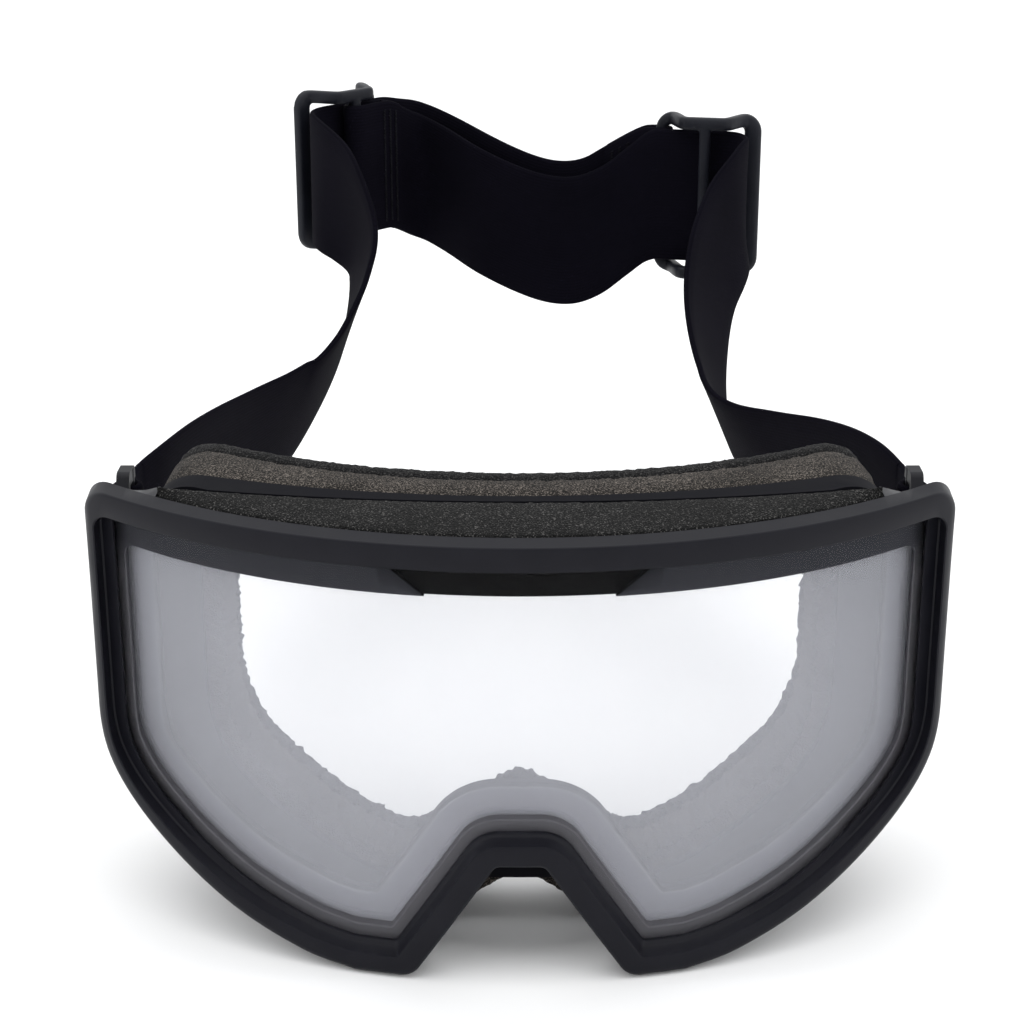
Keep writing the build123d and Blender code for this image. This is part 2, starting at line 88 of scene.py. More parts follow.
# Top vent
VENT_FLOOR = 63.8
VENT_TOP = 66.9
VENT_HALF = 73.0
VENT_TAPER = 62.0
VENT_FRONT = 4.2
VENT_REAR = 21.0
VENT_RADIUS = 290.0

# Lower vents: the wall they sit in, and the stretch of it that they fill
FLANGE_REAR = 12.1
WALL_GROWTH = 15.5
WALL_FLOOR = -26.5
WINDOW = (22.3, 41.7)
LOWER_VENT_HALF = 1.05

# Face seal
SEAL_CHEEK = [(61.0, 22.0), (57.0, 7.5), (44.0, -3.8), (33.0, -10.5), (26.0, -13.4)]
SEAL_HALF = 61.0
SEAL_TOP = 52.5
SEAL_LOBE = 22.5
SEAL_HUMP = 1.2
SEAL_RADIUS = 115.0
RAIL_REAR = 24.4
RAIL_RADIUS = 170.0
FACE_FOAM_REAR = 36.0
COMFORT_FOAM_REAR = 41.5
FLEECE_REAR = 43.0

# Ears, clips and straps
PIVOT = (56.0, 36.0)
EAR_X = (80.2, 84.2)
EAR_RADIUS = 6.0
EAR_ROOT = -13.4
EAR_NECK = -8.0
CLIP_MIDDLE = 85.9
CLIP_BAR_Y = 66.0
CLIP_BAR_RADIUS = 1.6
STRAP_WIDTH = 40.0
STRAP_THICKNESS = 1.6

# Along the strap from a slider's middle: where its own strap comes in and leaves
STRAP_IN = -4.0
STRAP_OUT = 15.0

# Along the strap from the bar of a sewn fold: where the strap joins it, where the strap's end lies
# inside it, and where its short ply ends
LONG_PLY = 22.3
FLAT_PLY = 11.0
SHORT_PLY = 17.0

# Sliders: centre, direction along the strap, direction away from the head
SLIDER_HALF_LENGTH = 16.0
SLIDER_HALF_HEIGHT = 24.6
SLOT_HALF = 20.7
BAR_RADIUS = 1.7
END_BAR_OUT = 4.6
CENTRE_BAR_OUT = -4.6
END_BAR_AT = SLIDER_HALF_LENGTH - BAR_RADIUS
SLIDER_CORNER = 3.4
WIDE_BAR_HALF = 2.6
ARCH_START = 5.5
ARCH_RUN = 6.0

# Camera, in metres and degrees
CAMERA_PLACE = (0.0, -0.3754, 0.2099)
CAMERA_TILT = 70.0
FOCAL_LENGTH = 75.09375
LENS_SHIFT = -0.0078


def slider_frame(centre, along, outward):
    return (Vector(centre), Vector(along).normalized(), Vector(outward).normalized())


LEFT_SLIDER = slider_frame((-54, 285, 83.5), (0.68, 0.73, 0), (-0.73, 0.68, 0))
RIGHT_SLIDER = slider_frame((56, 265, 78.5), (-0.98, 0.20, 0), (0.20, 0.98, 0))


# ---------------------------------------------------------------- meshes

def make_mesh(name, points, faces, sharp=35.0, materials=(), coordinates=None):
    """A smooth object from points in millimetres, with (along, across) per point where it is woven."""
    mesh = bpy.data.meshes.new(name)
    mesh.from_pydata([tuple(float(c) * MM for c in p) for p in points], [], faces)
    mesh.validate()
    if coordinates is not None:
        layer = mesh.attributes.new("weave", "FLOAT_VECTOR", "POINT")
        vectors = np.array([(a, b, 0.0) for a, b in coordinates], np.float32)
        layer.data.foreach_set("vector", vectors.ravel())
    for material in materials:
        mesh.materials.append(material)
    work = bmesh.new()
    work.from_mesh(mesh)
    bmesh.ops.recalc_face_normals(work, faces=work.faces)
    work.to_mesh(mesh)
    work.free()
    mesh.shade_smooth()
    mesh.set_sharp_from_angle(angle=math.radians(sharp))
    piece = bpy.data.objects.new(name, mesh)
    bpy.context.scene.collection.objects.link(piece)
    return piece


def ring_faces(rings, count, closed_path=False):
    """Quads between neighbouring closed rings of points."""
    faces = []
    last = rings if closed_path else rings - 1
    for i in range(last):
        for j in range(count):
            a = i * count + j
            b = i * count + (j + 1) % count
            c = ((i + 1) % rings) * count + (j + 1) % count
            d = ((i + 1) % rings) * count + j
            faces.append((a, b, c, d))
    return faces


def loft(name, rings, caps=False, closed_path=False, **options):
    """A skin over rings with the same number of points."""
    count = len(rings[0])
    faces = ring_faces(len(rings), count, closed_path=closed_path)
    if caps:
        faces.append(tuple(range(count))[::-1])
        faces.append(tuple((len(rings) - 1) * count + j for j in range(count)))
    points = [p for ring in rings for p in ring]
    return make_mesh(name, points, faces, **options)


def apply_modifiers(piece):
    graph = bpy.context.evaluated_depsgraph_get()
    mesh = bpy.data.meshes.new_from_object(piece.evaluated_get(graph), depsgraph=graph)
    piece.modifiers.clear()
    piece.data = mesh


def cut(piece, cutter):
    """Takes the cutter out of the piece. The cut faces keep the cutter's material."""
    step = piece.modifiers.new("cut", "BOOLEAN")
    step.operation = "DIFFERENCE"
    step.solver = "EXACT"
    step.material_mode = "TRANSFER"
    step.object = cutter
    apply_modifiers(piece)
    bpy.data.objects.remove(cutter)


def join(name, pieces):
    """One object from several, with their materials."""
    bpy.ops.object.select_all(action="DESELECT")
    for piece in pieces:
        piece.select_set(True)
    bpy.context.view_layer.objects.active = pieces[0]
    bpy.ops.object.join()
    pieces[0].name = name
    pieces[0].data.name = name
    return pieces[0]


def roughen(piece, amount, size, keep=None, first=0):
    """Moves the points, from the first on, a little along smooth noise, as foam is never quite true."""
    for vertex in piece.data.vertices[first:]:
        if keep is not None and not keep(vertex.co / MM):
            continue
        where = vertex.co / (size * MM)
        move = noise.noise_vector(where) + 0.5 * noise.noise_vector(where * 2.7)
        vertex.co += move * amount * MM


# ---------------------------------------------------------------- materials

def material(name):
    made = bpy.data.materials.new(name)
    made.use_nodes = True
    made.node_tree.nodes.clear()
    return made, made.node_tree


def add(tree, kind, settings=None, **inputs):
    """A node with its settings and named inputs: a socket is linked, and anything else is a value."""
    made = tree.nodes.new(kind)
    for key, value in (settings or {}).items():
        setattr(made, key, value)
    for key, value in inputs.items():
        socket = made.inputs[key.replace("_", " ")]
        if isinstance(value, bpy.types.NodeSocket):
            tree.links.new(value, socket)
        else:
            socket.default_value = value
    return made


def place(tree):
    return add(tree, "ShaderNodeTexCoord").outputs["Object"]


def speckle(tree, size, detail=2.0):
    """Noise whose grains are about this many millimetres across."""
    scale = 1.0 / (size * MM)
    return add(tree, "ShaderNodeTexNoise", Vector=place(tree), Scale=scale, Detail=detail).outputs["Fac"]


def spread(tree, value, low, high, start=0.0, end=1.0):
    """A value mapped from one range to another, and held at its ends."""
    made = add(tree, "ShaderNodeMapRange", Value=value)
    for i, number in enumerate((low, high, start, end)):
        made.inputs[i + 1].default_value = number
    return made.outputs["Result"]


def colours(tree, factor, stops):
    ramp = tree.nodes.new("ShaderNodeValToRGB")
    tree.links.new(factor, ramp.inputs["Fac"])
    while len(ramp.color_ramp.elements) < len(stops):
        ramp.color_ramp.elements.new(0.5)
    for element, (position, colour) in zip(ramp.color_ramp.elements, stops):
        element.position = position
        element.color = (*colour, 1.0)
    return ramp.outputs["Color"]


def bump(tree, height, strength, distance, normal=None):
    made = add(tree, "ShaderNodeBump", Height=height, Strength=strength, Distance=distance * MM)
    if normal is not None:
        tree.links.new(normal, made.inputs["Normal"])
    return made.outputs["Normal"]


def surface(tree, **inputs):
    """The material's output: one principled shader with these inputs."""
    shader = add(tree, "ShaderNodeBsdfPrincipled", **inputs)
    output = tree.nodes.new("ShaderNodeOutputMaterial")
    tree.links.new(shader.outputs["BSDF"], output.inputs["Surface"])


def moulded_plastic(name, colour, worn, roughness, specular=0.16):
    """Satin injection-moulded plastic: fine spark-eroded grain, uneven gloss and faint handling marks."""
    made, tree = material(name)
    fine = speckle(tree, 0.35)
    broad = speckle(tree, 9.0, detail=4.0)
    base = colours(tree, spread(tree, broad, 0.35, 0.75), [(0.0, colour), (1.0, worn)])
    gloss = spread(tree, broad, 0.3, 0.7, roughness - 0.05, roughness + 0.07)
    surface(
        tree, Base_Color=base, Roughness=gloss, Specular_IOR_Level=specular,
        Normal=bump(tree, fine, 0.15, 0.04),
    )
    return made


def spacer_rubber(name, low, top):
    """Matt sealing rubber, paler down the sides and darker along the top: painted light on the sides and
    painted shade along the top.
    """
    made, tree = material(name)
    height = add(tree, "ShaderNodeSeparateXYZ", Vector=place(tree)).outputs["Z"]
    # Painted light and shade: the colour runs with height from the paler low stop to the darker top stop.
    base = colours(tree, spread(tree, height, 0.046, 0.054), [(0.0, low), (1.0, top)])
    gloss = spread(tree, speckle(tree, 9.0, detail=4.0), 0.3, 0.7, 0.55, 0.7)
    surface(tree, Base_Color=base, Roughness=gloss, Specular_IOR_Level=0.08)
    return made


def open_foam(name, dark, middle, light, cell, density):
    """Open-cell foam: painted shade in the pores, painted light on the cell walls, and slow changes of tone.
    """
    made, tree = material(name)
    cells = add(tree, "ShaderNodeTexVoronoi", Vector=place(tree), Scale=1.0 / (cell * MM))
    pores = cells.outputs["Distance"]
    grain = speckle(tree, cell * 0.8, detail=3.0)
    broad = speckle(tree, 14.0, detail=3.0)
    blend = add(tree, "ShaderNodeMath", {"operation": "MULTIPLY_ADD"})
    tree.links.new(grain, blend.inputs[0])
    blend.inputs[1].default_value = 0.75
    soften = spread(tree, broad, 0.3, 0.7, 0.11, 0.145)
    tree.links.new(soften, blend.inputs[2])
    # Painted shade and light: the dark stop stands for shade in the pores, the light stop for light on the
    # cell walls.
    base = colours(tree, blend.outputs[0], [(density[0], dark), (density[1], middle), (density[2], light)])
    height = add(tree, "ShaderNodeMath", {"operation": "ADD"})
    tree.links.new(grain, height.inputs[0])
    tree.links.new(pores, height.inputs[1])
    surface(
        tree, Base_Color=base, Roughness=0.92, Specular_IOR_Level=0.15, Sheen_Weight=0.02,
        Normal=bump(tree, height.outputs[0], 0.75, cell * 0.7),
    )
    return made


def fleece_cloth(name, dark, light):
    """Short brushed pile: soft clumps over a fine fibre grain."""
    made, tree = material(name)
    fibres = speckle(tree, 0.35, detail=4.0)
    clumps = speckle(tree, 2.4, detail=3.0)
    mix = add(tree, "ShaderNodeMath", {"operation": "MULTIPLY"})
    tree.links.new(fibres, mix.inputs[0])
    tree.links.new(clumps, mix.inputs[1])
    base = colours(tree, mix.outputs[0], [(0.12, dark), (0.42, light)])
    rough = bump(tree, fibres, 0.6, 0.25)
    surface(
        tree, Base_Color=base, Roughness=0.95, Specular_IOR_Level=0.1, Sheen_Weight=0.08,
        Sheen_Roughness=0.4, Normal=bump(tree, clumps, 0.5, 0.5, rough),
    )
    return made


def woven_elastic(name, dark, light):
    """Elastic webbing: lengthwise cords crossed by a fine diagonal twill, on the weave coordinates."""
    made, tree = material(name)
    weave = add(tree, "ShaderNodeAttribute", {"attribute_name": "weave"}).outputs["Vector"]
    split = add(tree, "ShaderNodeSeparateXYZ", Vector=weave)
    along = split.outputs["X"]
    across = split.outputs["Y"]
    twill = wave(tree, mixed(tree, along, across, 1.0, 1.3), 0.8)
    cords = wave(tree, across, 0.95)
    threads = wave(tree, mixed(tree, along, across, 1.0, -0.35), 0.5)
    heavy = mixed(tree, twill, cords, 0.55, 0.45)
    height = mixed(tree, heavy, threads, 0.8, 0.2)
    fuzz = speckle(tree, 0.5, detail=3.0)
    broad = speckle(tree, 22.0, detail=3.0)
    # The weave's relief is painted into the colour: painted light on the raised threads and painted shade in
    # the grooves, mixed with random tone from the fuzz and broad noise.
    tone = mixed(tree, height, fuzz, 0.6, 0.25)
    lit = mixed(tree, tone, broad, 0.85, 0.3)
    base = colours(tree, lit, [(0.2, dark), (0.85, light)])
    surface(
        tree, Base_Color=base, Roughness=0.9, Specular_IOR_Level=0.03,
        Normal=bump(tree, height, 0.4, 0.12, bump(tree, fuzz, 0.2, 0.08)),
    )
    return made


def mixed(tree, a, b, weight_a, weight_b):
    """A weighted sum of two values."""
    scaled = add(tree, "ShaderNodeMath", {"operation": "MULTIPLY"})
    tree.links.new(b, scaled.inputs[0])
    scaled.inputs[1].default_value = weight_b
    total = add(tree, "ShaderNodeMath", {"operation": "MULTIPLY_ADD"})
    tree.links.new(a, total.inputs[0])
    total.inputs[1].default_value = weight_a
    tree.links.new(scaled.outputs[0], total.inputs[2])
    return total.outputs[0]


def wave(tree, value, pitch):
    """A sine from 0 to 1 with this pitch in millimetres."""
    angle = add(tree, "ShaderNodeMath", {"operation": "MULTIPLY"})
    tree.links.new(value, angle.inputs[0])
    angle.inputs[1].default_value = 2 * math.pi / pitch
    sine = add(tree, "ShaderNodeMath", {"operation": "SINE"})
    tree.links.new(angle.outputs[0], sine.inputs[0])
    return spread(tree, sine.outputs[0], -1.0, 1.0)


def clear_lens(name, tint, haze, roughness, specular=0.12):
    """Clear polycarbonate: mostly see-through, with a thin, slightly uneven veil of haze."""
    made, tree = material(name)
    smears = speckle(tree, 30.0, detail=3.0)
    veil = spread(tree, smears, 0.3, 0.7, haze * 0.94, haze * 1.06)
    surface(
        tree, Base_Color=(*tint, 1.0), Roughness=roughness, Specular_IOR_Level=specular, Alpha=veil,
    )
    return made


RIM_PLASTIC = moulded_plastic(
    "rim_plastic", (0.0060, 0.0060, 0.0090), (0.0085, 0.0085, 0.0120), 0.44, specular=0.12,
)
CHASSIS_PLASTIC = moulded_plastic(
    "chassis_plastic", (0.0050, 0.0050, 0.0068), (0.0072, 0.0072, 0.0095), 0.65, specular=0.03,
)
SLIDER_PLASTIC = moulded_plastic("slider_plastic", (0.006, 0.0065, 0.010), (0.010, 0.011, 0.016), 0.4)
CLIP_PLASTIC = moulded_plastic("clip_plastic", (0.006, 0.006, 0.008), (0.010, 0.010, 0.013), 0.45)
PIN_PLASTIC = moulded_plastic("pin_plastic", (0.009, 0.009, 0.012), (0.015, 0.015, 0.018), 0.35)
# The spacer's low colour is painted light on the sides, and its top colour is painted shade along the top
# band.
SPACER_RUBBER = spacer_rubber("spacer_foam", (0.085, 0.083, 0.092), (0.024, 0.0245, 0.030))
# Near-black painted shade for the faces of the spacer's recess, which is the same rubber as the rest of the
# spacer.
RECESS_PAINTED_SHADE = moulded_plastic(
    "spacer_recess", (0.0015, 0.0015, 0.0015), (0.003, 0.003, 0.003), 0.8, specular=0.05,
)
# The foams' dark and light stops are painted shade in the pores and painted light on the cell walls.
VENT_FOAM = open_foam(
    "vent_foam", (0.0010, 0.0010, 0.0010), (0.0032, 0.0032, 0.0034), (0.095, 0.092, 0.088), 0.45,
    density=(0.46, 0.55, 0.65),
)
FACE_FOAM = open_foam(
    "face_foam", (0.005, 0.0045, 0.004), (0.027, 0.023, 0.020), (0.16, 0.140, 0.122), 0.42,
    density=(0.43, 0.52, 0.63),
)
COMFORT_FOAM = open_foam(
    "comfort_foam", (0.003, 0.003, 0.0035), (0.010, 0.0098, 0.010), (0.055, 0.053, 0.052), 0.45,
    density=(0.44, 0.53, 0.64),
)
FLEECE = fleece_cloth("fleece", (0.002, 0.002, 0.0025), (0.011, 0.0105, 0.012))
WEBBING = woven_elastic("webbing", (0.0010, 0.0010, 0.0019), (0.0056, 0.0049, 0.0095))
THREAD = fleece_cloth("thread", (0.0012, 0.0012, 0.0024), (0.0060, 0.0058, 0.0100))
OUTER_CLEAR = clear_lens("outer_lens_clear", (0.80, 0.81, 0.86), 0.004, 0.06, specular=0.05)
INNER_CLEAR = clear_lens("inner_lens_clear", (0.68, 0.69, 0.75), 0.24, 0.16)
LENS_BORDER = clear_lens("lens_border_clear", (0.20, 0.18, 0.27), 0.30, 0.3)
# A pale strip along the lens step: a painted highlight where the step catches light.
LENS_STEP_HIGHLIGHT = clear_lens("lens_step_painted_highlight", (0.88, 0.88, 0.93), 0.20, 0.3)


def dress(piece, body, node):
    """Puts a piece on its body, in place of a CAD node."""
    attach(piece, body)
    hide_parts(node)
    return piece


# ---------------------------------------------------------------- outlines

def steps(start, end, count):
    """Points from start up to but not including end."""
    return [
        (start[0] + (end[0] - start[0]) * k / count, start[1] + (end[1] - start[1]) * k / count)
        for k in range(count)
    ]


def rounded_corner(before, corner, after, radius, count):
    """Points of the arc that rounds a corner between two straight lines, both ends included."""
    c = Vector(corner)
    u = (Vector(before) - c).normalized()
    v = (Vector(after) - c).normalized()
    half = u.angle(v) / 2
    centre = c + (u + v).normalized() * (radius / math.sin(half))
    first = c + u * (radius / math.tan(half)) - centre
    last = c + v * (radius / math.tan(half)) - centre
    sweep = first.angle(last)
    points = []
    for k in range(count + 1):
        t = k / count
        spoke = (first * math.sin((1 - t) * sweep) + last * math.sin(t * sweep)) / math.sin(sweep)
        points.append(tuple(centre + spoke))
    return points


def smooth_curve(points, start, end, count):
    """A smooth curve through points with given end directions, up to but not including the last point."""
    stations = [Vector(p) for p in points]
    last = len(stations) - 1
    headings = [(stations[min(i + 1, last)] - stations[max(i - 1, 0)]).normalized() for i in range(last + 1)]
    headings[0] = Vector(start).normalized()
    headings[last] = Vector(end).normalized()
    curve = []
    for i in range(last):
        span = (stations[i + 1] - stations[i]).length
        for k in range(count):
            slopes = (headings[i] * span, headings[i + 1] * span)
            curve.append(tuple(hermite(stations[i], stations[i + 1], *slopes, k / count)))
    return curve


def hermite(a, b, slope_a, slope_b, t):
    """The cubic from a to b with these slopes at its ends."""
    return (
        a * (2 * t**3 - 3 * t**2 + 1) + slope_a * (t**3 - 2 * t**2 + t)
        + b * (-2 * t**3 + 3 * t**2) + slope_b * (t**3 - t**2)
    )


def moved_curve(points, widths, start, end):
    """A curve moved sideways, to the right of its direction when the widths are positive."""
    moved = []
    last = len(points) - 1
    for i, (x, z) in enumerate(points):
        before = points[max(i - 1, 0)]
        after = points[min(i + 1, last)]
        along = (after[0] - before[0], after[1] - before[1])
        if i == 0:
            along = start
        if i == last:
            along = end
        length = math.hypot(*along)
        moved.append((x + along[1] / length * widths[i], z - along[0] / length * widths[i]))
    return moved


def nose_x(z, width):
    """X of the straight nose flank at height z, moved into the rim by a width."""
    rise = BRIDGE_BOTTOM - BOTTOM
    run = LOBE_INNER - BRIDGE_HALF
    return BRIDGE_HALF + (BRIDGE_BOTTOM - z) * run / rise + width * math.hypot(rise, run) / rise


def mirrored(half):
    """The closed outline from its right half, which starts and ends on the middle line."""
    return half + [(-x, z) for x, z in half[-2:0:-1]]


def rim_half(top, side, lower, nose):
    """Right half of the rim outline, with its own inset along each part and a zone name per point."""
    last = len(CHEEK) - 1
    widths = [side + (lower - side) * min(1.0, i / (last - 1)) for i in range(last + 1)]
    cheek = moved_curve(CHEEK, widths, (0, -1), (-1, 0))
    right = HALF_WIDTH - side
    ceiling = TOP - top
    floor = BOTTOM + lower
    arch = BRIDGE_BOTTOM + nose
    lobe = (nose_x(floor, nose), floor)
    bridge = (nose_x(arch, nose), arch)
    corner = rounded_corner((0, ceiling), (right, ceiling), (right, 0), max(CORNER_RADIUS - side, 2.5), 10)
    lobe_arc = rounded_corner(cheek[-1], lobe, bridge, max(LOBE_RADIUS - nose, 1.2), 8)
    arch_arc = rounded_corner(lobe, bridge, (0, arch), ARCH_RADIUS + nose, 8)
    half = []
    zones = []

    def extend(points, zone):
        half.extend(points)
        zones.extend([zone] * len(points))

    inside = VENT_HALF / (HALF_WIDTH - CORNER_RADIUS) * corner[0][0]
    extend(steps((0, ceiling), (inside, ceiling), 36), "top")
    extend([(inside, ceiling), (inside + 0.06, ceiling)], "top")
    extend(steps((inside + 0.06, ceiling), corner[0], 6)[1:], "top")
    extend(corner, "corner")
    extend(steps(corner[-1], cheek[0], 12)[1:], "side")
    extend(smooth_curve(cheek, (0, -1), (-1, -0.23), 8), "lower")
    extend(steps(cheek[-1], lobe_arc[0], 4), "lower")
    extend(lobe_arc, "lower")
    extend(steps(lobe_arc[-1], arch_arc[0], 10)[1:], "nose")
    extend(arch_arc, "nose")
    extend(steps(arch_arc[-1], (0, arch), 3)[1:], "nose")
    extend([(0, arch)], "nose")
    return half, zones


def rim_ring(insets, depths):
    """One ring of the rim: insets and depths for top, side, lower and nose, eased where they meet."""
    half, zones = rim_half(*insets)
    value = {"top": depths[0], "side": depths[1], "lower": depths[2], "nose": depths[3]}
    value["corner"] = (depths[0] + depths[1]) / 2
    levels = [value[zone] for zone in zones]
    for _ in range(6):
        levels = [
            (levels[max(i - 1, 0)] + levels[i] + levels[min(i + 1, len(levels) - 1)]) / 3
            for i in range(len(levels))
        ]
    outline = mirrored(half)
    levels = levels + levels[-2:0:-1]
    return [(x, curved(x, depth, LENS_RADIUS), z) for (x, z), depth in zip(outline, levels)]


def curved(x, depth, axis):
    """Y of a curve across the goggles, concentric with one of this radius, at a depth on the middle line."""
    return axis - math.sqrt((axis - depth) ** 2 - x**2)


def behind(x, depth, radius):
    """Y of a curve of this radius that starts at a depth on the middle line."""
    return depth + radius - math.sqrt(radius**2 - x**2)


def seal_half(growth, floor=-27.5):
    """Right half of the hole in the face seal, grown outward."""
    right = SEAL_HALF + growth
    top = SEAL_TOP + growth
    cheek = moved_curve(SEAL_CHEEK, [-growth] * len(SEAL_CHEEK), (0, -1), (-1, 0))
    cheek[-1] = (cheek[-1][0], max(cheek[-1][1], floor))
    slope = (SEAL_HUMP - SEAL_CHEEK[-1][1]) / SEAL_LOBE
    hump = SEAL_HUMP - growth * math.hypot(1, slope)
    lobe = ((hump - cheek[-1][1]) / slope, cheek[-1][1])
    corner = rounded_corner((0, top), (right, top), (right, 0), 10 + growth * 0.2, 14)
    lobe_arc = rounded_corner(cheek[-1], lobe, (0, hump), 3, 8)
    peak = rounded_corner(lobe, (0, hump), (-lobe[0], lobe[1]), 6, 16)[:9]
    half = steps((0, top), corner[0], 90) + corner[:-1]
    half += steps(corner[-1], cheek[0], 50)
    half += smooth_curve(cheek, (0, -1), (-1, -0.35), 26)
    half += steps(cheek[-1], lobe_arc[0], 3) + lobe_arc[:-1]
    half += steps(lobe_arc[-1], peak[0], 36) + peak
    return half


# ---------------------------------------------------------------- goggle body

def even(value):
    return (value, value, value, value)


def rear_edge(point, share):
    """Lowers the rear of the top edge: to the vent floor along the vent, and gently at the corners."""
    x, y, z = point
    if z > 40 and abs(x) < VENT_HALF + 0.03:
        return (x, y, min(z, VENT_FLOOR))
    upper = min(1.0, max(0.0, (z - 50) / 12))
    outer = min(1.0, max(0.0, (abs(x) - VENT_HALF) / 6))
    return (x, y, z - CORNER_DROP * share * upper * outer)


def front_rim():
    """The moulded rim: rounded outer edge, stepped channel round the lens, lens pocket and vent recess."""
    pocket_rear = INNER_LENS[1] + 0.1
    rings = [
        rim_ring(REAR_LIP, even(FRAME_DEPTH)), rim_ring(REAR_LIP, even(pocket_rear)),
        rim_ring(POCKET, even(pocket_rear)), rim_ring(POCKET, even(POCKET_FRONT)),
        rim_ring(SIGHT, even(POCKET_FRONT)),
    ]
    rings += [rim_ring(insets, depths) for insets, depths in CHANNEL_RINGS]
    face = np.array(FACE)
    edge = np.array(EDGE_RADII)
    for back, depth in ((0.0, 0.55), (0.12, 0.2), (0.45, 0.0)):
        rings.append(rim_ring(tuple(face - back), even(depth)))
    for angle in (0, 18, 36, 54, 72, 90):
        turn = math.radians(angle)
        insets = edge * (1 - math.sin(turn)) + np.array(TOP_LEAN)
        rings.append(rim_ring(tuple(insets), tuple(edge * (1 - math.cos(turn)))))
    rings.append(rim_ring(even(0.0), even(VENT_FRONT)))
    for inset, depth in ((0.0, VENT_FRONT + 0.02), (0.0, 9.2), (0.25, 9.9), (0.9, FRAME_DEPTH)):
        share = (depth - VENT_FRONT) / (FRAME_DEPTH - VENT_FRONT)
        rings.append([rear_edge(p, share) for p in rim_ring(even(inset), even(depth))])
    rim = loft("rim", rings, closed_path=True, materials=[RIM_PLASTIC])
    ears = [side_ear(side) for side in (-1, 1)]
    dress(join("rim", [rim] + ears), "goggle", "front_frame")


def side_ear(side):
    """The lug behind the rim that carries the strap pin, with softened edges."""
    flare = [(EAR_ROOT, EAR_RADIUS + 2.2), (EAR_ROOT + 2.9, EAR_RADIUS + 0.6), (EAR_NECK, EAR_RADIUS)]
    outline = flare[:1] + [(y, -z) for y, z in flare]
    for k in range(17):
        turn = math.radians(-90 + 180 * k / 16)
        outline.append((EAR_RADIUS * math.cos(turn), EAR_RADIUS * math.sin(turn)))
    outline += flare[:0:-1]
    rings = []
    for x, shrink in ((0.0, 0.7), (0.2, 0.2), (0.7, 0.0), (3.3, 0.0), (3.8, 0.2), (4.0, 0.7)):
        scale = 1 - shrink / EAR_RADIUS
        rings.append([
            (side * (EAR_X[0] + x), PIVOT[0] + (y * scale if y > 0 else y), PIVOT[1] + z * scale)
            for y, z in outline
        ])
    return loft("ear", rings, caps=True, materials=[RIM_PLASTIC])


def pane(name, depths, node, made):
    """A lens: one cylinder-curved sheet with its edge chamfered."""
    half, _ = rim_half(*even(LENS_INSET))
    half = [p for i, p in enumerate(half) if i == 0 or math.dist(p, half[i - 1]) > 0.03]
    right = max(x for x, _ in half)
    rim_end = max(i for i, p in enumerate(half) if p[0] > right - 0.001)
    top_end = min(i for i, p in enumerate(half) if p[0] > right - 0.001)
    upper = half[:top_end + 1]
    lower = half[rim_end:][::-1]
    xs = sorted({round(x, 3) for x, _ in upper + lower})
    xs = [x for i, x in enumerate(xs) if i == 0 or x - xs[i - 1] > 0.05 or x == xs[-1]]
    xs = [-x for x in xs[:0:-1]] + xs
    highs = np.interp(np.abs(xs), [p[0] for p in upper], [p[1] for p in upper])
    lows = np.interp(np.abs(xs), [p[0] for p in lower], [p[1] for p in lower])
    points = []
    for x, high, low in zip(xs, highs, lows):
        front = curved(x, depths[0], LENS_RADIUS)
        rear = curved(x, depths[1], LENS_RADIUS)
        middle = (high + low) / 2
        eased = front + PANE_CHAMFER
        points += [
            (x, front, high - PANE_CHAMFER), (x, front, middle), (x, front, low + PANE_CHAMFER),
            (x, eased, low), (x, rear, low), (x, rear, middle), (x, rear, high), (x, eased, high),
        ]
    faces = ring_faces(len(xs), 8)
    faces.append(tuple(range(8))[::-1])
    faces.append(tuple((len(xs) - 1) * 8 + j for j in range(8)))
    sheet = make_mesh(name, points, faces, sharp=25.0, materials=[made])
    return dress(sheet, "goggle", node)


def lens_border(sheet):
    """The formed edge of the inner lens: a faint band that follows the outline, ending in a step with a pale
    painted highlight.
    """
    rear = INNER_LENS[1] + 0.02
    pieces = [sheet]
    for (near, far), made in ((BORDER_BAND, LENS_BORDER), (BORDER_STEP, LENS_STEP_HIGHLIGHT)):
        rings = []
        for inset, depth in ((near, rear), (far, rear), (far, rear + 0.15), (near, rear + 0.15)):
            rings.append(rim_ring(even(inset), even(depth)))
        pieces.append(loft("lens_border", rings, closed_path=True, materials=[made]))
    join("inner_pane", pieces)


def lens_gasket():
    """The dark spacer between the lenses, wide along the top, with its recess above the nose."""
    rings = []
    outer = np.array(even(LENS_INSET))
    inner = np.array(SPACER_INNER)
    front, rear = SPACER
    for base, sign in ((outer, 1), (inner, -1)):
        order = ((0.0, rear), (0.0, front + 0.25), (0.25, front))
        for inset, depth in order if sign > 0 else order[::-1]:
            rings.append(rim_ring(tuple(base + sign * inset), even(depth)))
    gasket = loft("lens_gasket", rings, closed_path=True, materials=[SPACER_RUBBER])
    # The cut faces take the recess's near-black painted shade.
    cut(gasket, recess_cutter())
    dress(gasket, "goggle", "lens_spacer")


def recess_cutter():
    """The recess in the spacer's top: sides that lean outward, a floor that follows the lens curve, and
    near-black painted shade on its faces.
    """
    ceiling = TOP - SIGHT[0] + 0.2
    sill = TOP - SPACER_INNER[0]
    wide, narrow = RECESS_HALF
    inside = [narrow * k / 6 for k in range(-5, 6)]
    xs = [-wide, -narrow, -narrow + 0.1] + inside + [narrow - 0.1, narrow, wide]
    rings = []
    for x in xs:
        low = sill + (ceiling - sill) * (abs(x) - narrow) / (wide - narrow)
        if abs(x) < narrow:
            low = sill - 3.0
        low = min(low, ceiling - 0.05)
        floor = curved(x, RECESS_FLOOR, LENS_RADIUS)
        rings.append([(x, 2.0, low), (x, floor, low), (x, floor, ceiling), (x, 2.0, ceiling)])
    return loft("recess", rings, caps=True, materials=[RECESS_PAINTED_SHADE])


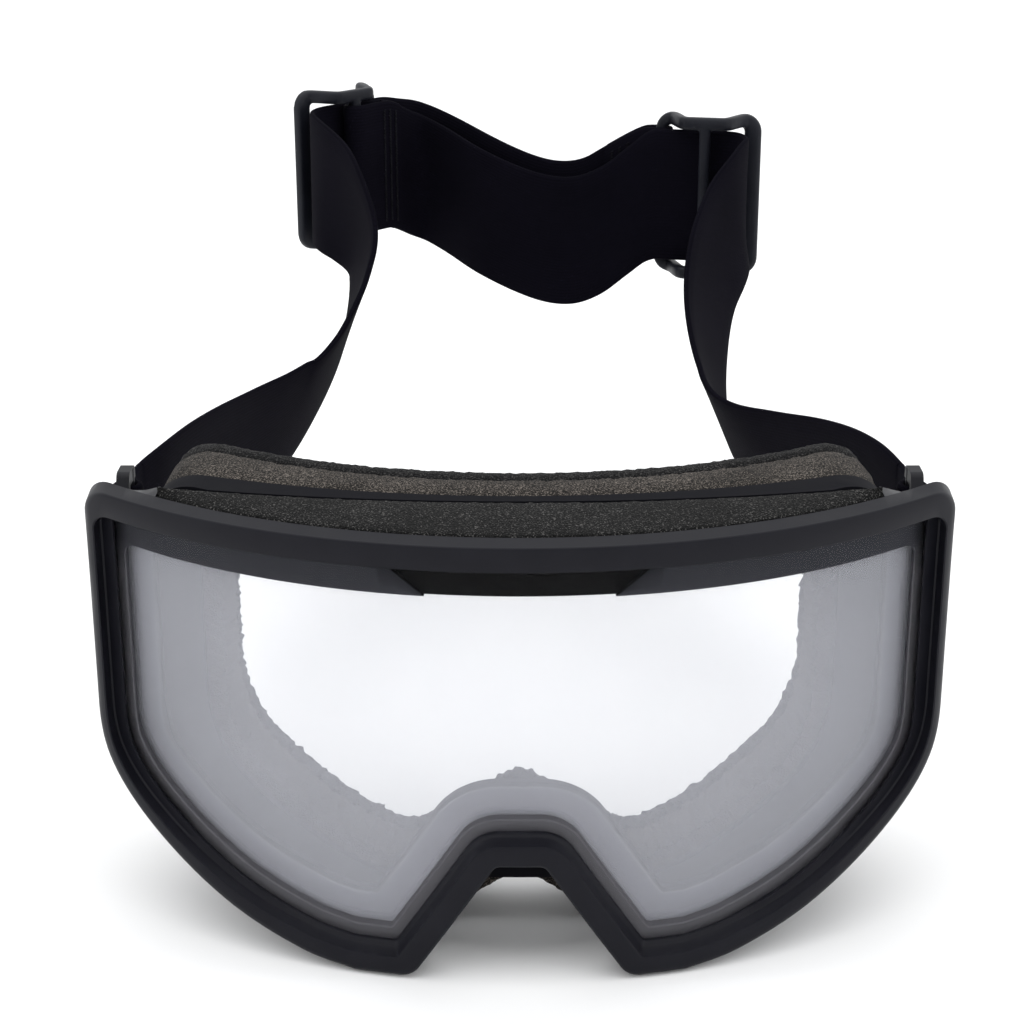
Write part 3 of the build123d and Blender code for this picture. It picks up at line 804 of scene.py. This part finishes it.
def soft_layer(name, growth, hole, front, rear, bulge, rounding, made, node, ragged):
    """One layer of the face seal, between two surfaces: its sides swell between the glue lines."""
    rings = []
    outer = growth - rounding
    inner = hole + rounding

    def ring(amount, share, offset=0.0):
        outline = mirrored(seal_half(amount))
        return [(x, front(x) + (rear(x) - front(x)) * share + offset, z) for x, z in outline]

    for k in range(9):
        share = k / 8
        pinch = rounding * (abs(2 * share - 1) ** 4)
        rings.append(ring(growth - pinch + bulge * math.sin(math.pi * share), share))
    for k in range(1, 5):
        t = k / 5
        rings.append(ring(outer * (1 - t) + inner * t, 1.0, 0.5 * bulge * math.sin(math.pi * t)))
    hole_first = len(rings) * len(rings[0])
    for k in range(9):
        share = 1 - k / 8
        pinch = rounding * (abs(2 * share - 1) ** 4)
        rings.append(ring(hole + pinch - 0.6 * bulge * math.sin(math.pi * share), share))
    layer = loft(name, rings, closed_path=True, sharp=60.0, materials=[made])
    roughen(layer, ragged, 1.3)
    roughen(layer, 0.9, 1.4, first=hole_first)
    dress(layer, "goggle", node)


def face_seal():
    """The three layers glued to the rail, the softest one last."""
    def rail(x):
        return behind(x, RAIL_REAR + 0.05, RAIL_RADIUS)

    def seal_surface(depth):
        return lambda x: behind(x, depth, SEAL_RADIUS)

    soft_layer(
        "face_foam_layer", 15.0, 0.2, rail, seal_surface(FACE_FOAM_REAR), 0.5, 0.9, FACE_FOAM,
        "face_foam", 0.30,
    )
    soft_layer(
        "comfort_foam_layer", 14.3, 0.7, seal_surface(FACE_FOAM_REAR + 0.05), seal_surface(COMFORT_FOAM_REAR),
        0.6, 0.8, COMFORT_FOAM, "comfort_foam", 0.28,
    )
    soft_layer(
        "fleece_layer", 12.8, 1.6, seal_surface(COMFORT_FOAM_REAR + 0.05), seal_surface(FLEECE_REAR),
        0.2, 0.5, FLEECE, "face_fleece", 0.2,
    )


def top_vent():
    """The strip of foam in the top recess: crowned, with its ends drawn to blunt points."""
    rings = []
    count = 150
    for i in range(count + 1):
        x = -VENT_HALF + 2 * VENT_HALF * i / count
        front = curved(x, VENT_FRONT, LENS_RADIUS) + 0.05
        rear = behind(x, VENT_REAR, VENT_RADIUS) - 0.05
        taper = max(0.0, (abs(x) - VENT_TAPER) / (VENT_HALF - VENT_TAPER))
        front += 0.7 * (rear - front) * taper**3
        ring = [(x, front, VENT_FLOOR + 0.05), (x, front, VENT_TOP - 1.0), (x, front + 0.25, VENT_TOP - 0.4)]
        for k in range(9):
            t = k / 8
            crown = 0.25 * math.sin(math.pi * t) + 0.9 * t
            ring.append((x, front + 0.6 + (rear - front - 0.9) * t, VENT_TOP - 0.15 + crown))
        ring += [(x, rear - 0.1, VENT_TOP + 0.5), (x, rear, VENT_TOP - 1.0), (x, rear, VENT_FLOOR + 0.05)]
        rings.append(ring)
    foam = loft("top_vent_strip", rings, caps=True, sharp=60.0, materials=[VENT_FOAM])
    roughen(foam, 0.16, 0.9, lambda p: p.z > VENT_FLOOR + 1)
    dress(foam, "goggle", "top_vent_foam")


def lower_vent(side):
    """A thin strip of foam in the window of the lower chassis wall, slightly proud on both faces."""
    wall = seal_half(WALL_GROWTH, floor=WALL_FLOOR)
    outline = [p for p in wall if p[1] < 0 and WINDOW[0] < p[0] < WINDOW[1]]
    rings = []
    for i, (x, z) in enumerate(outline):
        before = Vector(outline[max(i - 1, 0)])
        after = Vector(outline[min(i + 1, len(outline) - 1)])
        heading = (after - before).normalized()
        front = curved(x, FLANGE_REAR + 0.7, LENS_RADIUS)
        rear = behind(x, VENT_REAR - 0.6, VENT_RADIUS)
        middle = Vector((side * x, (front + rear) / 2, z))
        thin = Vector((side * heading.y, 0, -heading.x))
        rings.append(squared_ring(middle, Vector((0, 1, 0)), thin, (rear - front) / 2, LOWER_VENT_HALF))
    hand = "left" if side < 0 else "right"
    foam = loft("lower_vent_strip_" + hand, rings, caps=True, sharp=60.0, materials=[VENT_FOAM])
    roughen(foam, 0.1, 0.9)
    dress(foam, "goggle", "lower_vent_foam_" + hand)


# ---------------------------------------------------------------- straps

UP = Vector((0, 0, 1))

# Stations of the straps: on the arms the middle of the strap and the direction of its width, and across
# the back, where the width is upright, the middle alone
LEFT_ARM = [
    ((-85.9, 76.0, 36), (0, 0, 1)), ((-83.5, 92, 37), (4, 0, 40)), ((-80.5, 124, 34), (7, -2, 39)),
    ((-74, 164, 29), (7, -11, 38)), ((-64, 197, 29), (5, -24, 31)), ((-56, 212, 37), (4, -33, 22)),
    ((-50, 222, 48), (4, -37, 15)), ((-46.5, 230, 59), (7, -38, 12)), ((-46, 237, 70), (11, -34, 18)),
    ((-53, 248, 79.5), (10, -20, 34)), ((-60, 259, 82.8), (3, -6, 40)), ((-62.6, 271, 83.5), (0, 0, 1)),
]
LEFT_BACK = [
    (-38.4, 301.8, 82.2), (-32, 306, 80.6), (-22, 303, 77), (-8, 292.5, 71.5), (4, 285, 67.5),
    (13, 280, 66.5),
]
RIGHT_ARM = [
    ((85.9, 76.0, 36), (0, 0, 1)), ((85, 92, 37), (-5, 1, 40)), ((81.5, 120, 34), (-12, -2, 38)),
    ((73, 152, 28), (-14, -10, 36)), ((63, 177, 26), (-12, -22, 31)), ((56, 195, 30), (-10, -28, 27)),
    ((53.5, 208, 40), (-12, -30, 23)), ((53.5, 220, 52), (-15, -30, 22)), ((56, 231, 63), (-16, -27, 25)),
    ((61, 242, 71.5), (-13, -18, 33)), ((65.5, 251, 77.2), (-3, -6, 39)), ((66.6, 257.5, 78.5), (0, 0, 1)),
]
RIGHT_BACK = [
    (33.5, 269.6, 73.4), (25, 270.8, 66.6), (15.5, 272.4, 63.0), (4, 275, 64.2), (-12, 283.5, 69.6),
    (-22.5, 294.5, 73.9), (-30, 300.5, 76.8),
]

# Sewn ends of the straps: the bar each is folded round, as its place along and out, then how far beyond
# the bar the fold starts to sag, and how steeply
LEFT_FOLD = (0.0, CENTRE_BAR_OUT, 12.0, 0.55)
RIGHT_FOLD = (END_BAR_AT, END_BAR_OUT, 4.0, 0.65)


def on_slider(slider, along, outward):
    centre, direction, normal = slider
    return centre + direction * along + normal * outward


def smooth_run(points, widths, start, end, count=10):
    """Centre points and width directions along a smooth curve through the stations."""
    points = [Vector(p) for p in points]
    widths = [Vector(w).normalized() for w in widths]
    last = len(points) - 1
    headings = [(points[min(j + 1, last)] - points[max(j - 1, 0)]).normalized() for j in range(last + 1)]
    headings[0] = Vector(start).normalized()
    headings[last] = Vector(end).normalized()
    turns = [(widths[min(j + 1, last)] - widths[max(j - 1, 0)]) / 2 for j in range(last + 1)]
    turns[0] = turns[last] = Vector((0, 0, 0))
    run = []
    for i in range(last):
        span = (points[i + 1] - points[i]).length
        for k in range(count):
            t = k / count
            slopes = (headings[i] * span, headings[i + 1] * span)
            point = hermite(points[i], points[i + 1], *slopes, t)
            run.append((point, hermite(widths[i], widths[i + 1], turns[i], turns[i + 1], t)))
    run.append((points[last], widths[last]))
    return run


def settle(run, rounds):
    """Evens out a run of points and widths, with both ends held."""
    for _ in range(rounds):
        inner = [
            tuple((a + b * 2 + c) / 4 for a, b, c in zip(*run[i - 1:i + 2]))
            for i in range(1, len(run) - 1)
        ]
        run = [run[0]] + inner + [run[-1]]
    return run


def band_section(width, thickness):
    """Half-round edges and flat faces, as (across, off) points round the section."""
    radius = thickness / 2
    flat = width / 2 - radius
    section = []
    for side in (1, -1):
        for k in range(5):
            turn = math.radians(90 - 45 * k)
            section.append((side * (flat + radius * math.cos(turn)), side * radius * math.sin(turn)))
        for k in range(1, 8):
            section.append((side * flat * (1 - k / 4), -side * radius))
    return section


def ribbon(name, run):
    """A woven strap along centre points and width directions, which sags without tilting where upright."""
    section = band_section(STRAP_WIDTH, STRAP_THICKNESS)
    rings = []
    coordinates = []
    travelled = 0.0
    for i, (point, across) in enumerate(run):
        before = run[max(i - 1, 0)][0]
        after = run[min(i + 1, len(run) - 1)][0]
        heading = (after - before).normalized()
        if across.normalized().z > 0.9999:
            heading = Vector((heading.x, heading.y, 0)).normalized()
        across = (across - heading * across.dot(heading)).normalized()
        off = heading.cross(across)
        if i:
            travelled += (point - before).length
        rings.append([point + across * a + off * b for a, b in section])
        coordinates += [(travelled, a) for a, b in section]
    return loft(name, rings, caps=True, sharp=50.0, materials=[WEBBING], coordinates=coordinates)


def on_fold(slider, fold_at, along, outward):
    """A point on a sewn fold, at a distance from its bar, lower the further it has sagged."""
    bar_along, bar_outward, start, slope = fold_at
    beyond = max(0.0, along - start)
    drop = slope * beyond**2 / (beyond + 4.0)
    return on_slider(slider, bar_along + along, bar_outward + outward) - UP * drop


def strap(name, side, arm, own, back, other, fold_at, node):
    """From the clip through its own slider and across the back into the fold on the other slider."""
    forward = Vector((0, 1, 0))
    entry = on_slider(own, STRAP_IN, 0)
    leaving = on_slider(own, STRAP_OUT, 0)
    joined = on_fold(other, fold_at, LONG_PLY, 0)
    points = [p for p, _ in arm] + [entry]
    widths = [w for _, w in arm] + [UP]
    run = [(Vector((side * CLIP_MIDDLE, CLIP_BAR_Y + 3.4, PIVOT[1])), UP)]
    run += settle(smooth_run(points, widths, forward, own[1]), 5)
    run += [(on_slider(own, STRAP_IN + (STRAP_OUT - STRAP_IN) * k / 8, 0), UP) for k in range(1, 8)]
    uphill = UP * (fold_at[3] * 0.9) - other[1]
    run += settle(smooth_run([leaving] + back + [joined], [UP] * (len(back) + 2), own[1], uphill), 6)
    for k in range(1, 9):
        run.append((on_fold(other, fold_at, LONG_PLY - (LONG_PLY - FLAT_PLY) * k / 8, 0), UP))
    piece = join(name, [ribbon(name, run), ribbon("fold", clip_fold(side))])
    dress(piece, "strap", node)


def clip_fold(side):
    """The strap end wrapped round the rear bar of the clip, its short ply lying along the strap."""
    radius = CLIP_BAR_RADIUS + 0.2 + STRAP_THICKNESS / 2
    run = []
    for k in range(25):
        turn = math.radians(30 + 300 * k / 24)
        x = side * (CLIP_MIDDLE + radius * math.sin(turn))
        run.append((Vector((x, CLIP_BAR_Y + radius * math.cos(turn), PIVOT[1])), UP))
    first = Vector((side * (CLIP_MIDDLE + 0.1), CLIP_BAR_Y + 5.6, PIVOT[1]))
    last = Vector((side * (CLIP_MIDDLE - 0.1), CLIP_BAR_Y + 5.6, PIVOT[1]))
    return [(first, UP)] + run + [(last, UP)]


def sewn_fold(name, slider, fold_at, node, body):
    """A strap end folded round a slider bar and sewn flat, both plies running along the strap."""
    around = BAR_RADIUS + 0.2 + STRAP_THICKNESS / 2
    ply = STRAP_THICKNESS / 2 + 0.1 + STRAP_THICKNESS / 2
    path = [(SHORT_PLY - k * 1.5, ply) for k in range(7)]
    open_from = path[-1][0]
    for k in range(1, 5):
        t = k / 5
        ease = t * t * (3 - 2 * t)
        path.append((open_from * (1 - t), ply + (around - ply) * ease))
    for k in range(17):
        turn = math.radians(90 + 180 * k / 16)
        path.append((around * math.cos(turn), around * math.sin(turn)))
    path += [(a, -b) for a, b in path[10::-1]]
    fold = ribbon(name, [(on_fold(slider, fold_at, a, b), UP) for a, b in path])
    dress(fold, body, node)


# ---------------------------------------------------------------- stitching

def thread_row(start, end, off, rise=0.16, pitch=0.9, amplitude=0.42):
    """One zigzag row of thread from start to end, lying on a face whose outward direction is off."""
    length = (end - start).length
    along = (end - start).normalized()
    sideways = off.cross(along)
    count = int(length / pitch) * 2
    radius = 0.17
    rings = []
    for i in range(count + 1):
        swing = amplitude if i % 2 else -amplitude
        centre = start + along * (length * i / count) + sideways * swing + off * rise
        ring = []
        for k in range(6):
            turn = math.radians(60 * k)
            spoke = along * (radius * 1.2 * math.cos(turn)) + off * (radius * math.sin(turn))
            ring.append(centre + spoke)
        rings.append(ring)
    return loft("row", rings, caps=True, sharp=60.0, materials=[THREAD])


def end_stitches():
    """Rows that close the strap ends behind the clips, on both faces."""
    rows = []
    for side in (-1, 1):
        for face in (-1, 1):
            off = Vector((face, 0, 0))
            for row in (0, 1):
                x = side * CLIP_MIDDLE + face * STRAP_THICKNESS / 2
                y = CLIP_BAR_Y + 6.0 + 2.4 * row
                middle = Vector((x, y, PIVOT[1]))
                rows.append(thread_row(middle - UP * 17, middle + UP * 17, off))
    dress(join("end_stitches", rows), "strap", "end_tacks")


def fold_stitches(name, slider, fold_at, node, body):
    """Three rows on each face of a sewn fold."""
    rows = []
    for face in (-1, 1):
        off = slider[2] * face
        height = face * (STRAP_THICKNESS * 1.5 + 0.1)
        for row in range(3):
            middle = on_fold(slider, fold_at, 10 + 2.4 * row, height)
            rows.append(thread_row(middle - UP * 17.4, middle + UP * 17.4, off))
    dress(join(name, rows), body, node)


# ---------------------------------------------------------------- sliders

def arch_height(along):
    """How far out the slider's frame lies: low and flat in the middle, eased up to the raised ends."""
    t = min(1.0, max(0.0, (abs(along) - ARCH_START) / ARCH_RUN))
    return CENTRE_BAR_OUT + (END_BAR_OUT - CENTRE_BAR_OUT) * t * t * (3 - 2 * t)


def frame_loop():
    """Centre line of the slider's frame as (along, up) points: rails and end bars with rounded corners."""
    high = (SLOT_HALF + SLIDER_HALF_HEIGHT) / 2
    near = WIDE_BAR_HALF - SLIDER_HALF_LENGTH
    corners = [(END_BAR_AT, high), (near, high), (near, -high), (END_BAR_AT, -high)]
    arcs = [
        rounded_corner(corners[i - 1], corners[i], corners[(i + 1) % 4], SLIDER_CORNER, 8) for i in range(4)
    ]
    loop = []
    for i, arc in enumerate(arcs):
        loop += arc[:-1] + steps(arc[-1], arcs[(i + 1) % 4][0], 24)
    return loop


def squared_ring(point, across, off, half_across, half_off):
    """Points of a rounded-square section."""
    ring = []
    for k in range(16):
        turn = 2 * math.pi * k / 16
        c = math.copysign(abs(math.cos(turn)) ** 0.6, math.cos(turn))
        s = math.copysign(abs(math.sin(turn)) ** 0.6, math.sin(turn))
        ring.append(point + across * (half_across * c) + off * (half_off * s))
    return ring


def slider(name, place_of, node, body):
    """An arched three-bar slider, moulded in one piece with eased joints."""
    rail_half = (SLIDER_HALF_HEIGHT - SLOT_HALF) / 2
    line = frame_loop()
    loop = [on_slider(place_of, a, arch_height(a)) + UP * z for a, z in line]
    rings = []
    for i, point in enumerate(loop):
        end_half = WIDE_BAR_HALF if line[i][0] < 0 else BAR_RADIUS
        heading = (loop[(i + 1) % len(loop)] - loop[i - 1]).normalized()
        across = heading.cross(place_of[2]).normalized()
        half = rail_half + (end_half - rail_half) * abs(heading.z)
        rings.append(squared_ring(point, across, across.cross(heading), half, BAR_RADIUS))
    frame_part = loft("frame_part", rings, closed_path=True, materials=[SLIDER_PLASTIC])
    middle = on_slider(place_of, 0, CENTRE_BAR_OUT)
    rings = []
    for k in range(21):
        point = middle + UP * (SLOT_HALF + 2.0) * (k / 10 - 1)
        rings.append(squared_ring(point, place_of[1], place_of[2], BAR_RADIUS, BAR_RADIUS))
    centre_bar = loft("centre_bar", rings, caps=True, materials=[SLIDER_PLASTIC])
    piece = join(name, [frame_part, centre_bar])
    merge = piece.modifiers.new("merge", "REMESH")
    merge.mode = "VOXEL"
    merge.voxel_size = 0.42 * MM
    ease = piece.modifiers.new("ease", "SMOOTH")
    ease.factor = 0.5
    ease.iterations = 5
    apply_modifiers(piece)
    piece.data.shade_smooth()
    dress(piece, body, node)


# ---------------------------------------------------------------- carried-over parts

def keep_cad(name, made, bevel):
    """A CAD node with its own material and eased edges."""
    kept = nodes[name]
    kept.data.materials.clear()
    kept.data.materials.append(made)
    kept.data.shade_smooth()
    kept.data.set_sharp_from_angle(angle=math.radians(30))
    ease = kept.modifiers.new("ease", "BEVEL")
    ease.width = bevel * MM
    ease.segments = 3
    ease.limit_method = "ANGLE"
    ease.angle_limit = math.radians(40)


# ---------------------------------------------------------------- build

front_rim()
pane("outer_pane", OUTER_LENS, "outer_lens", OUTER_CLEAR)
lens_border(pane("inner_pane", INNER_LENS, "inner_lens", INNER_CLEAR))
lens_gasket()
face_seal()
top_vent()
lower_vent(-1)
lower_vent(1)
strap("strap_left_band", -1, LEFT_ARM, LEFT_SLIDER, LEFT_BACK, RIGHT_SLIDER, RIGHT_FOLD, "strap_left")
strap("strap_right_band", 1, RIGHT_ARM, RIGHT_SLIDER, RIGHT_BACK, LEFT_SLIDER, LEFT_FOLD, "strap_right")
end_stitches()
slider("left_slider", LEFT_SLIDER, "slider_left", "left_adjuster")
slider("right_slider", RIGHT_SLIDER, "slider_right", "right_adjuster")
sewn_fold("left_fold", LEFT_SLIDER, LEFT_FOLD, "strap_loop_left", "left_adjuster")
sewn_fold("right_fold", RIGHT_SLIDER, RIGHT_FOLD, "strap_loop_right", "right_adjuster")
fold_stitches("left_fold_stitches", LEFT_SLIDER, LEFT_FOLD, "bar_tack_left", "left_adjuster")
fold_stitches("right_fold_stitches", RIGHT_SLIDER, RIGHT_FOLD, "bar_tack_right", "right_adjuster")
keep_cad("rear_frame", CHASSIS_PLASTIC, 0.35)
keep_cad("strap_clip_left", CLIP_PLASTIC, 0.4)
keep_cad("strap_clip_right", CLIP_PLASTIC, 0.4)
keep_cad("clip_pins", PIN_PLASTIC, 0.3)


# ---------------------------------------------------------------- floor, light and camera

def studio_floor():
    made, tree = material("studio_floor")
    mottle = speckle(tree, 400.0, detail=2.0)
    base = colours(tree, mottle, [(0.3, (0.88, 0.88, 0.88)), (0.7, (0.91, 0.91, 0.91))])
    surface(tree, Base_Color=base, Roughness=0.7, Specular_IOR_Level=0.2)
    mesh = bpy.data.meshes.new("floor")
    level = BOTTOM * MM - 0.0004
    corners = [(-9, -7, level), (9, -7, level), (9, 12, level), (-9, 12, level)]
    mesh.from_pydata(corners, [], [(0, 1, 2, 3)])
    mesh.materials.append(made)
    floor = bpy.data.objects.new("floor", mesh)
    bpy.context.scene.collection.objects.link(floor)


def area_light(name, where, target, size, power):
    data = bpy.data.lights.new(name, "AREA")
    data.shape = "RECTANGLE"
    data.size, data.size_y = size
    data.energy = power
    lamp = bpy.data.objects.new(name, data)
    lamp.location = where
    lamp.rotation_euler = (Vector(target) - Vector(where)).to_track_quat("-Z", "Y").to_euler()
    bpy.context.scene.collection.objects.link(lamp)


def studio():
    studio_floor()
    world = bpy.data.worlds.new("studio")
    world.use_nodes = True
    world.node_tree.nodes["Background"].inputs["Color"].default_value = (0.98, 0.99, 1.0, 1.0)
    world.node_tree.nodes["Background"].inputs["Strength"].default_value = 1.05
    bpy.context.scene.world = world
    area_light("top_softbox", (0.0, 0.1, 1.6), (0, 0.1, 0), (2.4, 2.4), 20)
    area_light("left_softbox", (-1.3, -0.3, 0.7), (0, 0.1, 0.02), (0.9, 1.1), 3)
    area_light("right_softbox", (1.3, -0.3, 0.7), (0, 0.1, 0.02), (0.9, 1.1), 3)


def camera():
    data = bpy.data.cameras.new("camera")
    data.sensor_width = 36.0
    data.lens = FOCAL_LENGTH
    data.shift_x = LENS_SHIFT
    eye = bpy.data.objects.new("camera", data)
    eye.location = CAMERA_PLACE
    eye.rotation_euler = (math.radians(CAMERA_TILT), 0.0, 0.0)
    bpy.context.scene.collection.objects.link(eye)
    bpy.context.scene.camera = eye


studio()
camera()
bpy.context.scene.view_settings.view_transform = "Standard"
